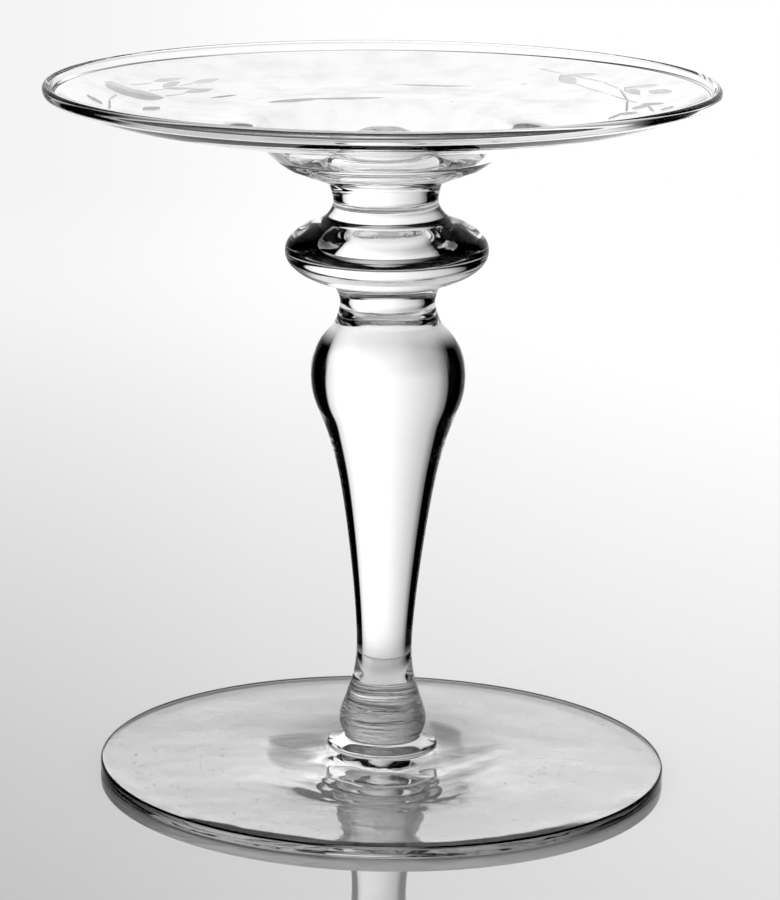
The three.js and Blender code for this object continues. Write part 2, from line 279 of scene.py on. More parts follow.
def turning_tree():
    tree = bpy.data.node_groups.new("turned_gather", "GeometryNodeTree")
    tree.is_modifier = True
    face = tree.interface
    face.new_socket("Outline", in_out="INPUT", socket_type="NodeSocketGeometry")
    face.new_socket("Flats", in_out="INPUT", socket_type="NodeSocketInt")
    for name in ("Lean start", "Rim height", "Lean", "Tilt", "Tilt bulge", "Wave seed"):
        face.new_socket(name, in_out="INPUT", socket_type="NodeSocketFloat")
    face.new_socket("Wave scale", in_out="INPUT", socket_type="NodeSocketVector")
    for name in ("Glass", "Weld", "Inside"):
        face.new_socket(name, in_out="INPUT", socket_type="NodeSocketMaterial")
    face.new_socket("Gather", in_out="OUTPUT", socket_type="NodeSocketGeometry")
    board = Board(tree)
    given = tree.nodes.new("NodeGroupInput")
    sizes = {out.name: Wire(board, out) for out in given.outputs if out.name}

    count = board.add("GeometryNodeAttributeDomainSize", values={0: sizes["Outline"]})
    grid = board.add("GeometryNodeMeshGrid", values={
        "Size X": 1.0, "Size Y": 1.0, "Vertices X": count, "Vertices Y": sizes["Flats"] + 1,
    })
    across, around, _ = board.split(board.add("GeometryNodeInputPosition"))
    row = (across + 0.5) * (count - 1)
    turn = (around + 0.5) * (2 * math.pi)

    def read(kind, value):
        return board.add("GeometryNodeSampleIndex", {"data_type": kind}, {
            "Geometry": sizes["Outline"], "Value": value, "Index": board.math("ROUND", row),
        })

    def named(name):
        return board.add("GeometryNodeInputNamedAttribute", {"data_type": "FLOAT"}, {"Name": name})

    radius, _, height = board.split(read("FLOAT_VECTOR", board.add("GeometryNodeInputPosition")))
    climb = (height - sizes["Lean start"]) / (sizes["Rim height"] - sizes["Lean start"])
    share = board.math("MAXIMUM", 0.0, climb)
    side = radius * board.math("COSINE", turn)
    leaned = board.vector(
        side + sizes["Lean"] * (1 - share * share),
        radius * board.math("SINE", turn),
        height + (sizes["Tilt"] + sizes["Tilt bulge"] * (1 - share)) * share * share * side,
    )
    kept = grid
    for name in ("weld", "wave"):
        kept = board.add("GeometryNodeStoreNamedAttribute", {"data_type": "FLOAT", "domain": "POINT"}, {
            "Geometry": kept, "Name": name, "Value": read("FLOAT", named(name)),
        })
    turned = board.add("GeometryNodeSetPosition", values={"Geometry": kept, "Position": leaned})
    closed = board.add("GeometryNodeMergeByDistance", values={"Geometry": turned, "Distance": 0.000001})
    waves = board.add("ShaderNodeTexNoise", {"noise_dimensions": "4D"}, {
        "Vector": board.add("GeometryNodeInputPosition") * sizes["Wave scale"],
        "W": sizes["Wave seed"], "Scale": 1.0, "Detail": 2.0,
    })
    lift = named("wave") * (waves - 0.5)
    push = board.add("GeometryNodeInputNormal") * board.vector(lift, lift, lift)
    wavy = board.add("GeometryNodeSetPosition", values={"Geometry": closed, "Offset": push})
    smooth = board.add("GeometryNodeSetShadeSmooth", values={"Geometry": wavy})
    glass = board.add("GeometryNodeSetMaterial", values={"Geometry": smooth, "Material": sizes["Glass"]})
    joined = board.add("GeometryNodeSetMaterial", values={
        "Geometry": glass, "Selection": named("weld") > 0.99, "Material": sizes["Weld"],
    })
    lined = board.add("GeometryNodeSetMaterial", values={
        "Geometry": joined, "Selection": named("weld") < -0.99, "Material": sizes["Inside"],
    })
    made = board.add("GeometryNodeRealizeInstances", values={"Geometry": lined})
    end = tree.nodes.new("NodeGroupOutput")
    tree.links.new(made.socket, end.inputs[0])
    return tree


turning = turning_tree()
print("turning tree:", len(turning.nodes), "nodes")

# %% [markdown]
# ## Half outlines
# A maker reads a profile as a few arcs and sweeps, and so does this small class: it starts on the axis,
# runs through lines and curves given by their handles, and keeps for each point whether it lies on a weld
# (1) or on the dish's inner surface (-1), and how far the hand-made waves may move it there.

# %% Outlines and gathers


class Outline:
    """A half outline in millimetres: radius and height, from the axis to the axis."""

    def __init__(self, height, weld=0.0):
        self.points = [(0.0, height)]
        self.weld = [weld]
        self.wave = [0.0]

    def line(self, radius, height, weld=0.0, steps=1, wave=0.0):
        r0, z0 = self.points[-1]
        for i in range(1, steps + 1):
            t = i / steps
            self.points.append((r0 + (radius - r0) * t, z0 + (height - z0) * t))
            self.weld.append(weld if i == steps else 0.0)
            self.wave.append(wave)

    def curve(self, *handles, steps=24, wave=0.0, weld=0.0):
        """A quadratic or cubic curve that ends in its last handle."""
        ends = [self.points[-1], *handles]
        order = len(ends) - 1
        for i in range(1, steps + 1):
            t = i / steps
            shares = [math.comb(order, k) * t**k * (1 - t) ** (order - k) for k in range(order + 1)]
            radius = sum(s * p[0] for s, p in zip(shares, ends))
            height = sum(s * p[1] for s, p in zip(shares, ends))
            self.points.append((radius, height))
            self.weld.append(weld if i == steps else 0.0)
            self.wave.append(0.0 if i == steps else wave)


def put_inputs(modifier, values):
    """Sets a modifier's inputs by the name of each socket, through its identifier."""
    items = modifier.node_group.interface.items_tree
    sockets = {item.name: item.identifier for item in items if item.in_out == "INPUT"}
    for name, value in values.items():
        modifier[sockets[name]] = value


def settle(thing):
    """Turns what the modifiers make into the object's own plain mesh."""
    graph = bpy.context.evaluated_depsgraph_get()
    turned = thing.evaluated_get(graph)
    mesh = bpy.data.meshes.new_from_object(turned, preserve_all_data_layers=True, depsgraph=graph)
    thing.modifiers.clear()
    thing.data = mesh
    mesh.name = thing.name
    return thing


def volume(mesh):
    """The signed volume in cubic centimetres, positive where the faces point outwards."""
    body = bmesh.new()
    body.from_mesh(mesh)
    amount = body.calc_volume(signed=True)
    body.free()
    return amount * 1e6


def sharpen(mesh, degrees=32):
    """Sharp edges round a weld and where the surface turns a corner; smooth elsewhere."""
    body = bmesh.new()
    body.from_mesh(mesh)
    for edge in body.edges:
        welded = {mesh.materials[f.material_index] == weld for f in edge.link_faces}
        corner = len(edge.link_faces) == 2 and edge.calc_face_angle(0) > math.radians(degrees)
        edge.smooth = len(welded) == 1 and not corner
    body.to_mesh(mesh)
    body.free()


def gather(
    name, outline, flats, seed=0.0, wave_scale=(90.0, 90.0, 90.0), glass=clear_glass, inside=clear_glass,
):
    """Turns an outline into a closed piece of glass in the place of the solid of the same name."""
    mesh = bpy.data.meshes.new(name)
    points = [(r * MM, 0.0, z * MM) for r, z in outline.points]
    mesh.from_pydata(points, [(i, i + 1) for i in range(len(points) - 1)], [])
    for key, values, unit in (("weld", outline.weld, 1.0), ("wave", outline.wave, MM)):
        mesh.attributes.new(key, "FLOAT", "POINT").data.foreach_set("value", [v * unit for v in values])
    piece = bpy.data.objects.new(name, mesh)
    bpy.context.scene.collection.objects.link(piece)
    modifier = piece.modifiers.new("turn", "NODES")
    modifier.node_group = turning
    put_inputs(modifier, {
        "Flats": flats, "Lean start": FOOT_TO_LEAN, "Rim height": RIM_HEIGHT, "Lean": LEAN_AT_RIM,
        "Tilt": TILT_AT_RIM, "Tilt bulge": TILT_BULGE, "Wave seed": seed, "Wave scale": wave_scale,
        "Glass": glass, "Weld": weld, "Inside": inside,
    })
    settle(piece)
    if volume(piece.data) < 0:
        piece.data.flip_normals()
    sharpen(piece.data)
    print(f"{name}: {len(piece.data.polygons)} faces, {volume(piece.data):.2f} cm3")
    return piece


# %% [markdown]
# ## The foot
# The foot is a thin disc of glass pressed flat while hot: a narrow ring at its edge carries it, the middle
# is hollowed a little, and the top climbs slowly to the stem. Its edge is nearly square: only a small
# rounding above and a larger one below, because a round edge would draw a broad black band.

# %% Foot outline
FOOT_RADIUS = 65.3
FOOT_EDGE = 2.8
FOOT_ROUNDING = 1.3
FOOT_TOP_ROUNDING = 0.6
FOOT_HOLLOW = 1.4
FOOT_REST = 5
FOOT_WELD = 5.6
FOOT_WELD_RADIUS = 12.5


def foot_outline():
    rest = FOOT_RADIUS - FOOT_ROUNDING / 2
    inner = rest - FOOT_REST
    top = FOOT_RADIUS - FOOT_TOP_ROUNDING
    rise = FOOT_WELD - FOOT_EDGE
    outline = Outline(FOOT_HOLLOW)
    outline.curve((inner * 0.4, FOOT_HOLLOW), (inner * 0.75, FOOT_HOLLOW * 0.2), (inner, 0), steps=40)
    outline.line(rest, 0, steps=4)
    outline.curve((FOOT_RADIUS, 0), (FOOT_RADIUS, FOOT_ROUNDING / 2), steps=5)
    outline.line(FOOT_RADIUS, FOOT_EDGE - FOOT_TOP_ROUNDING, steps=2)
    outline.curve((FOOT_RADIUS, FOOT_EDGE), (top, FOOT_EDGE), steps=12)
    outline.curve(
        (top * 0.6, FOOT_EDGE + rise * 0.3), (top * 0.36, FOOT_EDGE + rise * 0.66),
        (FOOT_WELD_RADIUS, FOOT_WELD), steps=80, wave=0.2, weld=1.0,
    )
    outline.line(0, FOOT_WELD, weld=1.0)
    return outline


print("foot outline:", len(foot_outline().points), "points")

# %% [markdown]
# ## Touches
# The wheel's cuts and the foot's patches of painted shade have one form: an almond between two ends, widest
# in its middle. How deep a place lies in it needs no picture, only the distance along the line between the
# ends and the distance beside it. A high bluntness gives a touch of even width, such as a stalk.

# %% Touches


def touch_depth(board, place, start, end, width, bluntness):
    """How far a place lies inside one almond-shaped touch: more than 0 inside it."""
    reach = math.dist(start, end) / 2
    ahead = ((end[0] - start[0]) / 2 / reach, (end[1] - start[1]) / 2 / reach, 0)
    aside = (-ahead[1], ahead[0], 0)
    middle = Vector((start[0] + end[0], start[1] + end[1], 0)) / 2
    forward = (board.dot(place, ahead) - middle.dot(ahead)) * (1 / reach)
    beside = board.dot(place, aside) - middle.dot(aside)
    return width * (1 - abs(forward) ** bluntness) - abs(beside)


def deepest(board, place, touches):
    """How far a place lies inside any of the touches, in millimetres."""
    place = place * (1 / MM, 1 / MM, 1 / MM)
    depth = -1.0
    for touch in touches:
        depth = board.math("MAXIMUM", depth, touch_depth(board, place, *touch))
    return depth


# Soft patches of painted shade on the foot, where its colour is made darker:
PAINTED_SHADE_PATCHES = [  # both ends in millimetres, the half width and the bluntness
    ((-24, 7.5), (-8.5, -2), 7.2, 2), ((14, 23), (22, 8), 3.9, 2), ((3.5, -21.5), (32.5, 7), 3.9, 2),
    ((20, -27.5), (23.5, -23.5), 2.1, 2), ((-14.5, 19.5), (-11, 19.5), 1.0, 2),
    ((21.5, 22.5), (24.5, 23), 1.0, 2), ((-37, 11.5), (-24.5, 26.5), 0.9, 2),
    ((-21.5, -35.5), (9.5, -40), 1.1, 2),
]
print("touches of the paddle:", len(PAINTED_SHADE_PATCHES))

# %% [markdown]
# ## Pressed glass
# While the foot was soft a wooden paddle pressed it flat, and it kept slow crescents round the stem. A
# noise that runs slowly round the axis and faster along the radius gives the crescents as relief. A few
# soft grey patches and the grey rim are painted shade: their colour is made darker. Some specks of dust
# darken it too.

# %% Foot disc
MARKS_ROUND = 1.3
MARKS_OUTWARD = 60
# How much darker the colour is painted on the rim and in the soft patches, as painted shade, and how much
# specks of dust darken it.
RIM_PAINTED_SHADE = 0.4
PATCH_PAINTED_SHADE = 0.3
DUST_SHADE = 0.35


def foot_polar(board, place):
    """The place as seen from the middle of the foot, which the lean leaves beside the dish's middle."""
    x, y, _ = board.split(place)
    x = x - LEAN_AT_RIM
    return x, y, board.distance(x, y)


def paddle_marks(board, place):
    """Slow crescents round the foot, strongest near the stem."""
    x, y, away = foot_polar(board, place)
    near = away + MM
    polar = board.vector(MARKS_ROUND * x / near, MARKS_ROUND * y / near, away * MARKS_OUTWARD)
    return board.noise(polar, detail=0.5, distortion=0.3) * (1.25 - board.ramp(away, 0.02, 0.058))


def foot_painted_shade_and_dust(board, place):
    """Painted shade on the rim and in a few soft patches, and grey specks of dust."""
    away = foot_polar(board, place)[2]
    rim = board.ramp(away, 0.0648, 0.0652)
    painted_patch_shade = board.ramp(deepest(board, place, PAINTED_SHADE_PATCHES), 0.0, 2.2)
    dust = board.ramp(board.noise(place, 900.0), 0.8, 0.83)
    return RIM_PAINTED_SHADE * rim + PATCH_PAINTED_SHADE * painted_patch_shade + DUST_SHADE * dust


pressed_glass = glass_finish("pressed_glass", 0.00020, 0.02, relief=paddle_marks, shade=foot_painted_shade_and_dust)
foot_disc = gather(
    "glass_foot_disc", foot_outline(), 240, seed=3.0, wave_scale=(55.0, 55.0, 55.0), glass=pressed_glass,
)

# %% [markdown]
# ## Wafer and button
# Between foot and stem sit a flat wafer and a squat button, each a small gather that was squeezed while
# soft. The tool marks the button with fine horizontal cords, so its sides get waves that are long round the
# piece and short up it. The button's finish has strong cords in the normal, and painted shade in the glass:
# an even darkening and level dark bands.

# %% Foot wafer
WAFER_RADIUS = 12.75
WAFER_HEIGHT = 2.7
BUTTON_BASE = FOOT_WELD + WAFER_HEIGHT
BUTTON_WELD = 8.5


def wafer_outline():
    outline = Outline(FOOT_WELD, 1.0)
    outline.line(FOOT_WELD_RADIUS, FOOT_WELD, weld=1.0)
    edge = FOOT_WELD + WAFER_HEIGHT * 0.22
    outline.curve((WAFER_RADIUS, FOOT_WELD + WAFER_HEIGHT * 0.05), (WAFER_RADIUS, edge), steps=12)
    outline.curve(
        (WAFER_RADIUS, FOOT_WELD + WAFER_HEIGHT * 0.62),
        (BUTTON_WELD + (WAFER_RADIUS - BUTTON_WELD) * 0.05, FOOT_WELD + WAFER_HEIGHT * 0.55),
        (BUTTON_WELD, BUTTON_BASE), steps=24, weld=1.0,
    )
    outline.line(0, BUTTON_BASE, weld=1.0)
    return outline


foot_wafer = gather("glass_foot_wafer", wafer_outline(), 160)

# %% Foot button
BUTTON_RADIUS = 10
BUTTON_HEIGHT = 9.3
STEM_BASE = BUTTON_BASE + BUTTON_HEIGHT
STEM_FOOT = 8.6
CORD_SCALE = (70.0, 70.0, 700.0)
# The button's painted shade: the scale of its level dark bands, how dark they are, and an even darkening.
PAINTED_BAND_SCALE = (60.0, 60.0, 900.0)
BAND_PAINTED_SHADE = 0.5
BUTTON_EVEN_PAINTED_SHADE = 0.14


def button_painted_shade(board, place):
    """Painted shade on the button: an even darkening and level dark bands round it."""
    painted_bands = board.noise(place * PAINTED_BAND_SCALE, detail=2.0)
    return BUTTON_EVEN_PAINTED_SHADE + BAND_PAINTED_SHADE * board.ramp(painted_bands, 0.5, 0.66)


def button_outline():
    middle = BUTTON_BASE + BUTTON_HEIGHT * 0.46
    outline = Outline(BUTTON_BASE, 1.0)
    outline.line(BUTTON_WELD, BUTTON_BASE, weld=1.0)
    outline.curve(
        (BUTTON_RADIUS * 0.95, BUTTON_BASE + BUTTON_HEIGHT * 0.12),
        (BUTTON_RADIUS, middle - BUTTON_HEIGHT * 0.2), (BUTTON_RADIUS, middle), steps=28, wave=0.35,
    )
    outline.curve(
        (BUTTON_RADIUS, middle + BUTTON_HEIGHT * 0.18),
        (BUTTON_RADIUS * 0.92, middle + BUTTON_HEIGHT * 0.34), (STEM_FOOT, STEM_BASE),
        steps=28, wave=0.35, weld=1.0,
    )
    outline.line(0, STEM_BASE, weld=1.0)
    return outline


corded_glass = glass_finish("corded_glass", 0.0014, 0.03, (150.0, 150.0, 1200.0), 4.0, shade=button_painted_shade)
foot_button = gather(
    "glass_foot_button", button_outline(), 160, seed=5.0, wave_scale=CORD_SCALE, glass=corded_glass,
)

# %% [markdown]
# ## The baluster stem
# The stem is one solid gather, drawn out thin above the button and left full near the top. Its outline is
# four sweeps: a flare down to the button, a long swell, the belly and a round shoulder.

# %% Baluster stem
STEM_TOP = STEM_BASE + 88.4
STEM_WAIST = (6.4, STEM_BASE + 12.3)
STEM_HIP = (11.63, STEM_BASE + 54.8)
STEM_BELLY = (17.65, STEM_BASE + 76.3)
STEM_NECK = 12
HIP_FLARE = 0.23


def stem_outline():
    swell = STEM_HIP[1] - STEM_WAIST[1]
    climb = STEM_BELLY[1] - STEM_HIP[1]
    shoulder = STEM_TOP - STEM_BELLY[1]
    flare = STEM_WAIST[1] - STEM_BASE
    outline = Outline(STEM_BASE, 1.0)
    outline.line(STEM_FOOT, STEM_BASE, weld=1.0)
    outline.curve(
        (STEM_FOOT - 1.1, STEM_BASE + flare * 0.33),
        (STEM_WAIST[0], STEM_WAIST[1] - flare * 0.55), STEM_WAIST, steps=24, wave=0.06,
    )
    outline.curve(
        (STEM_WAIST[0], STEM_WAIST[1] + swell * 0.22),
        (STEM_HIP[0] - swell * 0.225 * HIP_FLARE, STEM_HIP[1] - swell * 0.225), STEM_HIP,
        steps=36, wave=0.04,
    )
    outline.curve(
        (STEM_HIP[0] + climb * 0.645 * HIP_FLARE, STEM_HIP[1] + climb * 0.645),
        (STEM_BELLY[0], STEM_BELLY[1] - climb * 0.36), STEM_BELLY, steps=28, wave=0.04,
    )
    outline.curve(
        (STEM_BELLY[0], STEM_BELLY[1] + shoulder * 0.62),
        (STEM_NECK + shoulder * 0.09, STEM_TOP - shoulder * 0.18), (STEM_NECK, STEM_TOP),
        steps=40, wave=0.04, weld=1.0,
    )
    outline.line(0, STEM_TOP, weld=1.0)
    return outline


baluster_stem = gather("glass_baluster_stem", stem_outline(), 192, seed=7.0, wave_scale=(45.0, 45.0, 45.0))

# %% [markdown]
# ## Necks and knop
# A short neck of glass joins the stem to a flattened ball, the knop, and a second neck joins that to the
# dish. The knop is turned as part of an ellipse that is a little full at its shoulders, and it is cut
# flat where the necks meet it. A neck is two sweeps, in to its waist and out again.

# %% Necks and knop
NECK_HEIGHT = 8.7
KNOP_BASE = STEM_TOP + NECK_HEIGHT
KNOP_RADIUS = 23.1
KNOP_HALF = 8.95
KNOP_FULLNESS = 2.1
KNOP_LOWER = 12.3
KNOP_UPPER = 15.4


def knop_rise(radius):
    return KNOP_HALF * (1 - (radius / KNOP_RADIUS) ** KNOP_FULLNESS) ** (1 / KNOP_FULLNESS)


KNOP_MIDDLE = KNOP_BASE + knop_rise(KNOP_LOWER)
UPPER_NECK_BASE = KNOP_MIDDLE + knop_rise(KNOP_UPPER)
BOSS_BASE = UPPER_NECK_BASE + NECK_HEIGHT
UPPER_NECK_TOP = 12.9
LOWER_WAIST = (10.8, STEM_TOP + 4.6)
UPPER_WAIST = (11.9, UPPER_NECK_BASE + 4.4)


def neck_outline(low, waist, top, pull, wave=0.0):
    outline = Outline(low[1], 1.0)
    below = waist[1] - low[1]
    above = top[1] - waist[1]
    outline.line(*low, weld=1.0)
    outline.curve(
        ((low[0] + waist[0]) / 2, low[1] + below * pull), (waist[0], waist[1] - below * 0.35), waist,
        steps=20, wave=wave,
    )
    outline.curve(
        (waist[0], waist[1] + above * 0.35), ((top[0] + waist[0]) / 2, top[1] - above * 0.3), top,
        steps=20, wave=wave, weld=1.0,
    )
    outline.line(0, top[1], weld=1.0)
    return outline


def knop_outline(steps=96):
    power = 2 / KNOP_FULLNESS
    start = math.acos((KNOP_LOWER / KNOP_RADIUS) ** (1 / power))
    end = math.acos((KNOP_UPPER / KNOP_RADIUS) ** (1 / power))
    outline = Outline(KNOP_BASE, 1.0)
    for i in range(steps + 1):
        angle = (start + end) * i / steps - start
        rise = math.copysign(abs(math.sin(angle)) ** power, angle)
        radius = KNOP_RADIUS * math.cos(angle) ** power
        outline.line(radius, KNOP_MIDDLE + KNOP_HALF * rise, weld=float(i in (0, steps)))
    outline.line(0, UPPER_NECK_BASE, weld=1.0)
    return outline


lower_line = neck_outline((STEM_NECK, STEM_TOP), LOWER_WAIST, (KNOP_LOWER, KNOP_BASE), 0.35, wave=0.1)
upper_line = neck_outline(
    (KNOP_UPPER, UPPER_NECK_BASE), UPPER_WAIST, (UPPER_NECK_TOP, BOSS_BASE), 0.12, wave=0.1,
)
lower_neck = gather("glass_lower_neck", lower_line, 192, seed=9.0, wave_scale=CORD_SCALE)
knop = gather("glass_knop", knop_outline(), 240)
upper_neck = gather("glass_upper_neck", upper_line, 192, seed=11.0, wave_scale=CORD_SCALE)

# %% [markdown]
# ## The plate boss
# The plate boss is the low pad of glass that carries the dish: it flares out of the neck's top and ends
# where the dish begins. Through its curved side the neck's width shows as a darker bar in the middle.
# It is the same turning as the other gathers, drawn wide and flat.

# %% Plate boss
PLATE_BASE = BOSS_BASE + 3.5
BOSS_WELD = 22.1


def boss_outline():
    flare = BOSS_WELD - UPPER_NECK_TOP
    rise = PLATE_BASE - BOSS_BASE
    outline = Outline(BOSS_BASE, 1.0)
    outline.line(UPPER_NECK_TOP, BOSS_BASE, weld=1.0)
    outline.curve(
        (UPPER_NECK_TOP + flare * 0.25, BOSS_BASE + rise * 0.26),
        (BOSS_WELD - flare * 0.27, PLATE_BASE - rise * 0.31), (BOSS_WELD, PLATE_BASE),
        steps=32, wave=0.12, weld=1.0,
    )
    outline.line(0, PLATE_BASE, weld=1.0)
    return outline


plate_boss = gather("glass_plate_boss", boss_outline(), 240, seed=13.0, wave_scale=(60.0, 60.0, 300.0))

# %% [markdown]
# ## The engraving
# A wheel has cut two sprays of flowers and leaves into the inside of the brim, left and right. Each touch
# of the wheel leaves a matt almond, and a thin stalk is a row of touches of even width. So a leaf is
# written as its two ends and its half width, and a stalk as the places it runs through, in millimetres
# from the middle of the dish. Only the inner surface of the dish carries this finish.

# %% Engraving
LEAF = 2
STROKE = 3
STALK = 8
STALK_WIDTH = 0.28
CUT_SLOPE = 0.16
FLOWER = [  # both ends in millimetres, and the half width
    ((-63, 18.5), (-57, 23), 4.9), ((-61.5, 17), (-50, 21.5), 4.5),
]
LEFT_LEAVES = [
    ((-66.5, 5), (-62.5, -2.5), 1.2), ((-53.5, 2), (-50.5, 10), 1.5), ((-53.5, 34), (-47, 41.5), 1.0),
    ((-51, 30.5), (-47.5, 38.5), 1.2), ((-51, 29.5), (-43, 35.5), 0.9), ((-44.5, 39), (-38.5, 46), 1.2),
    ((-46, 29.5), (-39.5, 37), 1.3), ((-40, 27), (-33.5, 34), 0.7),
]
RIGHT_LEAVES = [
    ((42, 48.5), (45, 39.5), 1.8), ((43.5, 47.5), (51, 43.5), 1.0), ((56, 29.5), (59, 19), 1.3),
    ((56.5, 29), (63.5, 24), 1.0), ((61, 21), (66, 13.5), 1.6), ((57, 2.5), (60, 7), 2.1),
    ((58.5, 8.5), (63.5, 2.5), 1.1), ((60, 5.5), (60.5, -6.5), 0.4), ((50.5, -6), (54, 1), 0.9),
    ((53.5, 1.5), (57, -4), 1.7), ((62, -4.5), (65, -6.5), 1.8),
]
LONG_STROKES = [
    ((-26.5, 26), (-14, 33.5), 1.5), ((-17, 32.5), (0.5, 35.5), 1.1), ((2, 50.5), (21, 47), 0.7),
    ((32.5, 45), (34, 45.5), 0.5), ((16, 30), (16.5, 30), 0.6),
]
STALKS = [
    [(-60.5, 14), (-61.5, 6.5), (-60.5, -7)],
    [(-58, 27), (-53.5, 32.5)], [(-54, 25), (-50.5, 29)],
    [(-50, 23), (-45.5, 29)], [(-47.5, 34.5), (-44.5, 38.5)],
    [(37, 55), (42.5, 49)], [(43.5, 48), (51.5, 37.5), (55, 28.5), (56, 16), (55, 1.5)],
    [(44.5, 41), (52.5, 25), (58, 10.5)],
]


def wheel_touches():
    """Every touch of the wheel with the bluntness of its ends."""
    petals = [(*touch, LEAF) for touch in FLOWER + LEFT_LEAVES + RIGHT_LEAVES]
    strokes = [(*touch, STROKE) for touch in LONG_STROKES]
    steps = [pair for stalk in STALKS for pair in zip(stalk, stalk[1:])]
    return petals + strokes + [(*pair, STALK_WIDTH, STALK) for pair in steps]


def engraving(board, place):
    return board.ramp(deepest(board, place, wheel_touches()), 0.0, CUT_SLOPE)


engraved_glass = glass_finish("engraved_glass", 0.00002, 0.015, cut=engraving)
print("touches of the wheel:", len(wheel_touches()))

# %% [markdown]
# ## The plate
# The plate is a thin dish whose inside follows its outside: a shallow round well with a small domed crown
# in the middle, a gently sloping brim, and an upturned lip with a round top. A thin wall bends light very
# little, which is why the brim looks almost like air and only the well, the lip and the engraving draw
# lines. The outside is drawn with curves, and the inside is the same row of points moved square to the
# surface by the wall's thickness. Where the wall climbs steeply it is made thicker, which keeps the view
# through it straight there too. A small fillet joins the lip to the brim.

# %% Plate wall
PLATE_RADIUS = 76
PLATE_WALL = 1.4
THROAT_GAIN = 0.83
RIM = PLATE_BASE + 19.0
THROAT = (30.2, PLATE_BASE + 7.1)
BRIM = (44.0, PLATE_BASE + 9.5)
CORNER = (PLATE_RADIUS - 2.4, RIM - 3.15)
WALL_WAVE = 0.08


def under_outline():
    """The underside of the dish, from its weld on the boss to the corner under the lip."""
    under = Outline(PLATE_BASE, 1.0)
    under.line(BOSS_WELD, PLATE_BASE, weld=1.0)
    under.curve((24.8, PLATE_BASE + 1.67), (27.5, THROAT[1] - 2.78), THROAT, steps=40, wave=WALL_WAVE)
    under.curve(
        (THROAT[0] + 2.07, THROAT[1] + 2.13), (BRIM[0] - 6.9, BRIM[1] - 0.41), BRIM,
        steps=40, wave=WALL_WAVE,
    )
    under.curve(
        (BRIM[0] + 8.0, BRIM[1] + 0.48), (CORNER[0] - 12.43, CORNER[1] - 4.72), CORNER,
        steps=60, wave=WALL_WAVE,
    )
    return under


def inside_of(points, wall):
    """The row of points moved into the glass by the wall's thickness, which grows with the slope."""
    moved = []
    for i, (radius, height) in enumerate(points):
        r0, z0 = points[max(0, i - 1)]
        r1, z1 = points[min(len(points) - 1, i + 1)]
        length = math.hypot(r1 - r0, z1 - z0)
        thick = wall * (1 + THROAT_GAIN * math.atan2(z1 - z0, r1 - r0))
        moved.append((radius - (z1 - z0) / length * thick, height + (r1 - r0) / length * thick))
    return moved


print("wall of the dish:", PLATE_WALL, "mm, thicker by", THROAT_GAIN, "for each radian of slope")

# %% Lip and well
SEAT = PLATE_BASE + 2.8
SEAT_RADIUS = 14
CROWN = (3.0, SEAT + 5.8)
LIP = 2.2
LIP_INNER = (PLATE_RADIUS - LIP, RIM - 1.9)
LIP_FILLET = (LIP_INNER[0] - 1.1, LIP_INNER[1] - 0.25)
WELL_START = 24.4
WALL_END = 60.0


def add_lip(outline, steps=16):
    """Over the round top of the lip, down its inside and round the fillet at its root."""
    side = RIM - LIP / 2
    outline.curve(
        (PLATE_RADIUS - 0.8, CORNER[1] + 0.1), (PLATE_RADIUS, CORNER[1] + 0.9), (PLATE_RADIUS, side),
        steps=steps,
    )
    for i in range(1, steps + 1):
        angle = math.pi * i / steps
        outline.line(PLATE_RADIUS - LIP / 2 + LIP / 2 * math.cos(angle), side + LIP / 2 * math.sin(angle))
    outline.line(LIP_INNER[0], LIP_INNER[1] + 0.9, steps=2)
    outline.curve(LIP_INNER, LIP_FILLET, steps=10)


def add_inside(outline, inside):
    """From the lip down the brim and the steep wall of the well."""
    last = inside[-1]
    third = (LIP_FILLET[0] - last[0]) / 3
    outline.curve(
        (LIP_FILLET[0] - third, LIP_FILLET[1] - third * 0.27),
        (last[0] + third, last[1] + third * 0.18), last, steps=30, wave=WALL_WAVE,
    )
    for radius, height in reversed(inside[:-1]):
        outline.line(radius, height, wave=WALL_WAVE)


def plate_outline():
    outline = under_outline()
    outside = outline.points[2:]
    inside = [q for p, q in zip(outside, inside_of(outside, PLATE_WALL)) if WELL_START < p[0] < WALL_END]
    add_lip(outline)
    first = len(outline.points)
    add_inside(outline, inside)
    outline.weld[first:] = [-1.0] * (len(outline.points) - first)
    cove = inside[0]
    outline.curve((cove[0] - (cove[1] - SEAT) / 0.8, SEAT), (SEAT_RADIUS, SEAT), steps=24, wave=0.05)
    outline.curve((SEAT_RADIUS * 0.68, SEAT), (SEAT_RADIUS * 0.55, CROWN[1]), CROWN, steps=36)
    outline.line(0, CROWN[1], steps=6)
    return outline


plate = gather(
    "glass_plate", plate_outline(), 256, seed=17.0, wave_scale=(40.0, 40.0, 40.0), inside=engraved_glass,
)

# %% [markdown]
# ## Floor
# The stand rests on a pale glossy sheet that mirrors its foot. Near the object the sheet is a real surface
# that takes its shadow. Further out it fades into the backdrop, so there is no line where the floor ends.
#
# Glass draws itself with what stands behind it. The room beside the sheet is dark, and the sides of a
# solid stem bend the eye round to that darkness. So the sheet is pale for the camera, and for rays that
# came through glass its colour is painted dark in the same directions as the room, beyond the foot's edge,
# a painted reflection of the dark room. Behind the object its colour is painted lighter, a painted spill of
# the backdrop's light. Seen from above it is simply pale.

# %% Where the room is bright


def backdrop_reach(board, turn):
    """How bright the white backdrop is along a heading, in degrees from straight behind the object."""
    far_left = 0.2 + 0.33 * board.ramp(turn, -37.0, -29.0, smooth=False)
    left = (far_left + 0.47 * board.ramp(turn, -29.0, -2.0, smooth=False)) * board.ramp(turn, -41.0, -37.5)
    right = (1 - 0.35 * board.ramp(turn, 28.0, 40.0, smooth=False)) * (1 - board.ramp(turn, 40.0, 44.0))
    return left * right * (1.05 + 0.15 * board.ramp(turn, -5.0, 15.0))


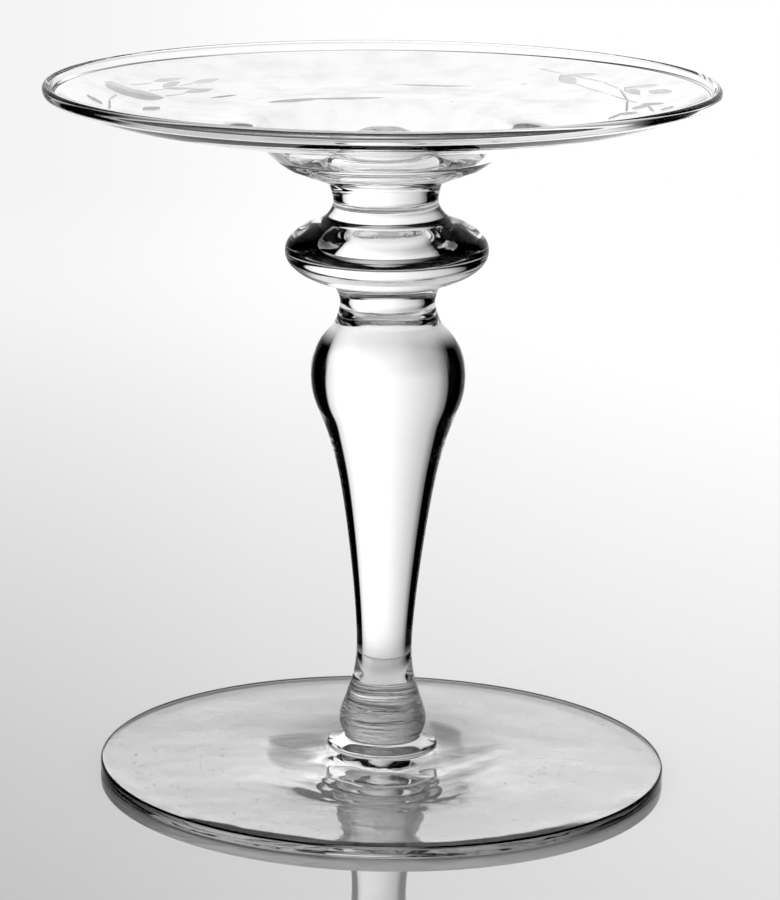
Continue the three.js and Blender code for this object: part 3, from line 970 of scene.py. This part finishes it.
def room_reach(board, turn):
    """How bright the rest of the room is, beside and in front of the object."""
    return 0.85 * board.ramp(abs(turn), 76.0, 92.0)


print("the room is dark between the backdrop and 76 degrees to either side")

# %% Floor finish
FLOOR_RADIUS = 0.9
FLOOR_SIDES = 96
FLOOR_FADE = (0.35, 0.85)
FLOOR_TONE = 0.24
FLOOR_DROP = 0.00002
STEM_BENDS = 3.5
PAINTED_BACKDROP_SPILL = 1.3
TONE_FROM_ABOVE = 0.4


def floor_finish():
    material = bpy.data.materials.new("pale_sheet")
    material.use_nodes = True
    material.node_tree.nodes.clear()
    board = Board(material.node_tree)
    place = board.add("ShaderNodeTexCoord", output=3)
    x, y, _ = board.split(place)
    away = board.distance(x, y)
    fade = board.ramp(away, *FLOOR_FADE)
    turn = board.math("ARCTAN2", x, y) * (180 / math.pi)
    path = board.add("ShaderNodeLightPath").socket.node
    seen = Wire(board, path.outputs["Is Camera Ray"])
    past_stem = Wire(board, path.outputs["Transmission Depth"]) > STEM_BENDS
    wedge = board.math("MINIMUM", backdrop_reach(board, turn) + room_reach(board, turn), 1.0)
    facing = board.add("ShaderNodeLayerWeight", values={"Blend": 0.5}, output=1)
    flat_look = board.ramp(facing, 0.3, 0.55)
    # Painted dark: beyond the foot's edge, where the room is dark, the sheet's colour is made darker for
    # rays that are not the camera's.
    beside = board.math("MAXIMUM", board.ramp(away, 0.068, 0.105), past_stem)
    lit = 1 - (1 - seen) * (1 - wedge) * beside * flat_look
    # Painted spill of light: behind the object, for rays that are not the camera's, the sheet's colour is
    # made lighter.
    beyond = board.math("MAXIMUM", board.ramp(y, 0.08, 0.19, smooth=False), 0.7 * past_stem * (y > 0.0))
    behind = 1 + PAINTED_BACKDROP_SPILL * (1 - seen) * beyond
    # Painted fall of light: the sheet's colour runs from FLOOR_TONE on the left to twice that on the right.
    across = FLOOR_TONE * (1 + board.ramp(x, -0.12, 0.10))
    tone = across * lit * behind + TONE_FROM_ABOVE * (1 - flat_look)
    matt = board.add("ShaderNodeBsdfDiffuse", values={"Color": board.grey(tone)})
    mirror = board.add("ShaderNodeBsdfAnisotropic", values={"Color": (1, 1, 1, 1), "Roughness": 0.03})
    shine = board.math("MINIMUM", 0.04 + 2 * facing**4, 1.0)
    near = board.add("ShaderNodeMixShader", values={0: shine, 1: matt, 2: mirror})
    clear = board.add("ShaderNodeBsdfTransparent", values={"Color": (1, 1, 1, 1)})
    sheet = board.add("ShaderNodeMixShader", values={0: fade, 1: near, 2: clear})
    board.add("ShaderNodeOutputMaterial", values={"Surface": sheet})
    return material


# %% Floor
floor_mesh = bpy.data.meshes.new("floor_sheet")
angles = [math.tau * i / FLOOR_SIDES for i in range(FLOOR_SIDES)]
ring = [Vector((math.cos(angle), math.sin(angle), 0)) * FLOOR_RADIUS for angle in angles]
floor_mesh.from_pydata(ring, [], [tuple(range(FLOOR_SIDES))])
floor_mesh.materials.append(floor_finish())
floor_sheet = bpy.data.objects.new("floor_sheet", floor_mesh)
floor_sheet.location.z = -FLOOR_DROP
bpy.context.scene.collection.objects.link(floor_sheet)
print("floor radius", FLOOR_RADIUS)

# %% [markdown]
# ## Light
# Clear glass has no colour of its own, so it is lit from behind: a broad white backdrop, with the room
# falling dark beyond its sides. The edges of the glass bend the eye round to that darkness and turn black,
# which draws the outline.
#
# The world gives that pattern to rays that come through or off the glass, a plain even level to everything
# else, and plain white to the camera. The light path tells which kind a ray is. Its depths tell more: a ray
# with a mirror depth and no bend came off the outside of the glass, and one that was mirrored after four
# bends came off the floor through the foot. Those look a little lower, as they do over a real sheet.

# %% World light
ROOM_LEVEL = 1.0
BACKDROP_TOP = 14
DARK_SHARE = 0.78


def ray_kinds(board):
    """What the light path says of a ray, as named switches and depths."""
    path = board.add("ShaderNodeLightPath").socket.node
    names = ("Is Camera Ray", "Is Glossy Ray", "Is Transmission Ray", "Transmission Depth")
    found = [Wire(board, path.outputs[name]) for name in names]
    mirrored = Wire(board, path.outputs["Glossy Depth"]) > 0.5
    lit_before = Wire(board, path.outputs["Diffuse Depth"]) > 0.5
    return [*found, mirrored, lit_before]


def world_light():
    world = bpy.data.worlds.new("soft_studio")
    bpy.context.scene.world = world
    world.use_nodes = True
    world.node_tree.nodes.clear()
    board = Board(world.node_tree)
    heading = board.add("ShaderNodeTexCoord", output=0)
    x, y, z = board.split(heading)
    turn = board.math("ARCTAN2", x, y) * (180 / math.pi)
    height = board.math("ARCSINE", z) * (180 / math.pi)
    camera_ray, glossy_ray, through_ray, bends, mirrored, lit_before = ray_kinds(board)
    past_stem = bends > STEM_BENDS
    outside = (1 - (bends > 0.5)) * mirrored
    off_floor = board.math("MAXIMUM", glossy_ray, mirrored * past_stem)
    height = height - (9 - 4 * (bends > 0.5)) * off_floor
    top_edge = BACKDROP_TOP + 10 * board.ramp(abs(turn), 16.0, 28.0)
    ceiling = 0.3 * board.ramp(height, 44.0, 56.0)
    low_part = 1 - DARK_SHARE * board.ramp(height - top_edge, 0.0, 6 + 10 * off_floor) + ceiling
    turned_inside = through_ray * mirrored * (1 - past_stem)
    room = room_reach(board, turn) * (1 - board.ramp(height, 12.0, 18.0)) * (1 - turned_inside)
    around = 0.7 * board.ramp(abs(turn), 56.0, 70.0) * (1 - board.ramp(height, 14.0, 20.0)) * outside
    pattern = backdrop_reach(board, turn) * low_part + board.math("MAXIMUM", room, around)
    shown = board.math("MINIMUM", glossy_ray + through_ray, 1.0) * (1 - lit_before)
    plain = 0.9 + 0.1 * board.ramp(turn, -6.0, 0.0)
    level = camera_ray * plain + (1 - camera_ray) * (shown * pattern + (1 - shown) * ROOM_LEVEL)
    light = board.add("ShaderNodeBackground", values={"Color": (1, 1, 1, 1), "Strength": level})
    board.add("ShaderNodeOutputWorld", values={"Surface": light})


world_light()
cycles = bpy.context.scene.cycles
cycles.max_bounces = 32
cycles.transmission_bounces = 32
cycles.glossy_bounces = 12
cycles.transparent_max_bounces = 64
print("world light set")

# %% [markdown]
# ## Joining the frame
# Each finished piece takes the place of its solid and rides on the one body.

# %% Finish
PIECES = {
    "foot_disc": foot_disc,
    "foot_wafer": foot_wafer,
    "foot_button": foot_button,
    "baluster_stem": baluster_stem,
    "lower_neck": lower_neck,
    "knop": knop,
    "upper_neck": upper_neck,
    "plate_boss": plate_boss,
    "plate": plate,
}
for node, piece in PIECES.items():
    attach(piece, "root")
    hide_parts(node)
